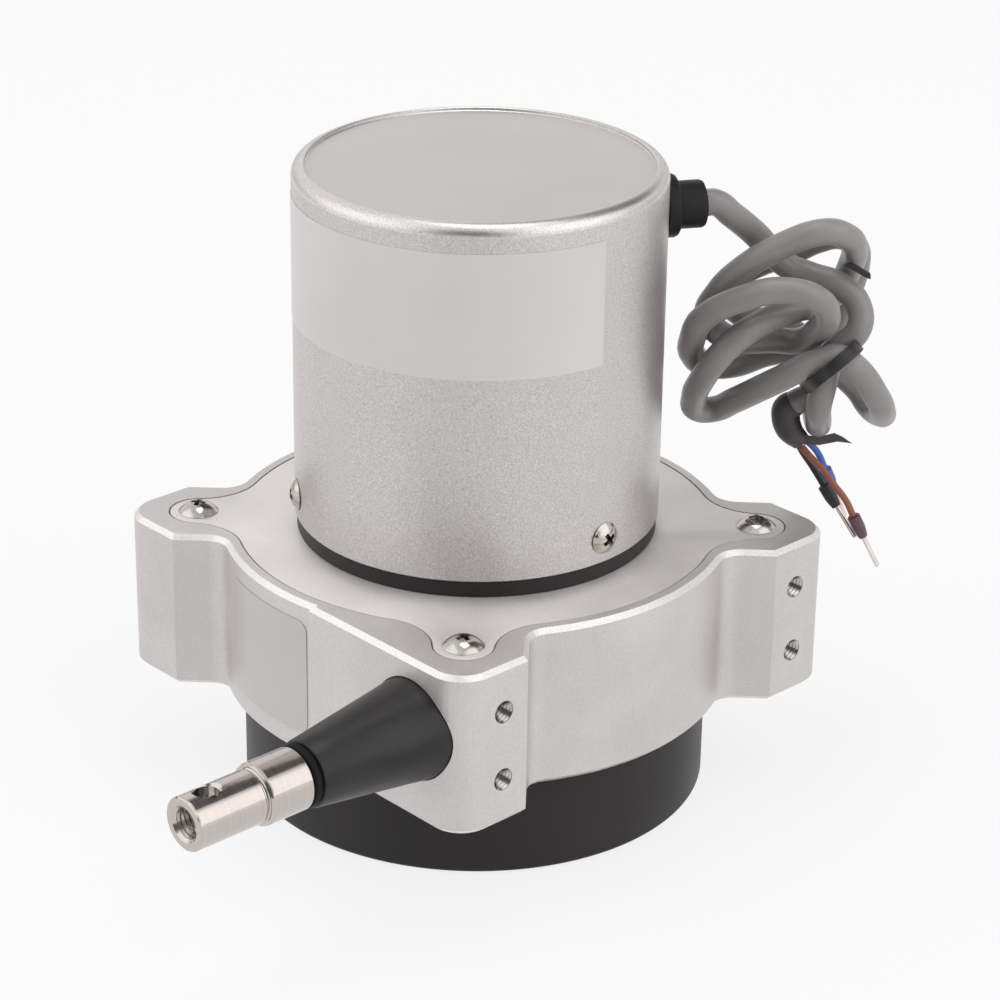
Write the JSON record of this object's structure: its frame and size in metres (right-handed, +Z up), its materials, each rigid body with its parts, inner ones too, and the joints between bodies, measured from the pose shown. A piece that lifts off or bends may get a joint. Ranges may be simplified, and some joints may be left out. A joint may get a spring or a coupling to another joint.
{
  "type": "draw wire encoder",
  "caption": "Draw wire position sensor: square aluminium wire housing, round sensor can on top, black spring cap below, cone outlet with a threaded wire end and a loose signal cable.",
  "frame": {"origin": "centre of the spring cap's underside, on the axis of the wire drum", "axes": "+Z up along the drum axis towards the sensor can; the wire leaves towards -Y; the face with the four tapped mounting holes looks along +X"},
  "size_m": [0.0874, 0.1542, 0.1096],
  "materials": {
    "body_aluminium": "bead-blasted and clear anodised, satin, with a fine sparkle",
    "cover_aluminium": "bead-blasted and clear anodised, satin, with a fine sparkle",
    "can_aluminium": "bead-blasted and clear anodised, satin, with a bright turned rim",
    "black_plastic": "moulded black, fine matt grain",
    "outlet_plastic": "turned black plastic, semi-gloss",
    "gland_plastic": "black moulded, satin",
    "turned_steel": "finely turned and polished stainless steel",
    "nickel_screws": "nickel plated, polished",
    "black_screws": "blackened steel",
    "bearing_steel": "ground and polished",
    "shaft_steel": "ground",
    "spring_steel": "blued spring strip",
    "drum_aluminium": "turned, plain",
    "wire_steel": "stranded stainless wire",
    "brass": "turned, plain",
    "crimp_copper": "plain copper",
    "buffer_rubber": "black, matt",
    "eyelet_ceramic": "glazed ceramic",
    "wiper_felt": "pressed wool felt",
    "potentiometer_blue": "moulded, smooth",
    "board_green": "solder mask over glass fibre",
    "block_green": "moulded",
    "trimmer_blue": "moulded",
    "chip_black": "moulded epoxy",
    "capacitor_sleeve": "shrunk sleeve",
    "cable_jacket": "mid-grey flexible PVC, satin",
    "tie_plastic": "black, satin",
    "sleeve_plastic": "black heat-shrink tube",
    "lead_brown": "smooth PVC",
    "lead_blue": "smooth PVC",
    "lead_black": "smooth PVC",
    "ferrule_collar": "moulded ferrule collar",
    "ferrule_tin": "tinned"
  },
  "bodies": {
    "housing": {"spring_cap": "black_plastic", "cap_screws": "black_screws", "power_spring": "spring_steel", "main_body": "body_aluminium", "cover_plate": "cover_aluminium", "cover_screws": "nickel_screws", "lower_bearing_outer": "bearing_steel", "upper_bearing_outer": "bearing_steel", "wire_nozzle": "outlet_plastic", "nozzle_buffer": "buffer_rubber", "wire_guide": "eyelet_ceramic", "felt_wiper": "wiper_felt", "sensor_base": "black_plastic", "sensor_can": "can_aluminium", "can_screws": "nickel_screws", "sensor_pillars": "brass", "sensor_plate": "drum_aluminium", "plate_screws": "nickel_screws", "potentiometer": "potentiometer_blue", "potentiometer_nut": "brass", "board_posts": "brass", "circuit_board": "board_green", "board_screws": "nickel_screws", "terminal_block": "block_green", "trimmers": "trimmer_blue", "signal_chip": "chip_black", "capacitors": "capacitor_sleeve", "cable_gland": "gland_plastic", "gland_nut": "gland_plastic", "cable_entry": "cable_jacket", "inner_leads": "lead_brown", "signal_cable": "cable_jacket", "cable_tie": "tie_plastic", "cable_sleeve": "sleeve_plastic", "brown_lead": "lead_brown", "blue_lead": "lead_blue", "black_lead": "lead_black", "lead_collars": "ferrule_collar", "lead_pins": "ferrule_tin"},
    "drum": {"drum_shaft": "shaft_steel", "shaft_clip": "spring_steel", "wire_drum": "drum_aluminium", "drum_set_screw": "black_screws", "wire_winding": "wire_steel", "lower_bearing_inner": "bearing_steel", "upper_bearing_inner": "bearing_steel", "lower_bearing_balls": "bearing_steel", "upper_bearing_balls": "bearing_steel", "spring_arbor": "shaft_steel", "shaft_coupling": "drum_aluminium", "coupling_screws": "black_screws", "potentiometer_shaft": "shaft_steel"},
    "wire_head": {"wire_head": "turned_steel", "wire_crimp": "crimp_copper", "draw_wire": "wire_steel"}
  },
  "joints": [
    {"name": "wire_pull", "type": "slide", "parent": "housing", "child": "wire_head", "axis": [0, -1, 0], "range_m": [0, 1.5], "stiffness_N_per_m": 2, "springref_m": -2.5, "deforming": ["draw_wire"]},
    {"name": "drum_spin", "type": "hinge", "parent": "housing", "child": "drum", "pos_m": [0, 0, 0], "axis": [0, 0, 1], "range_deg": [-2700.5, 0], "deforming": ["power_spring"]}
  ],
  "couplings": [
    {"joint": "drum_spin", "follows": "wire_pull", "rad_per_m": -31.416}
  ]
}
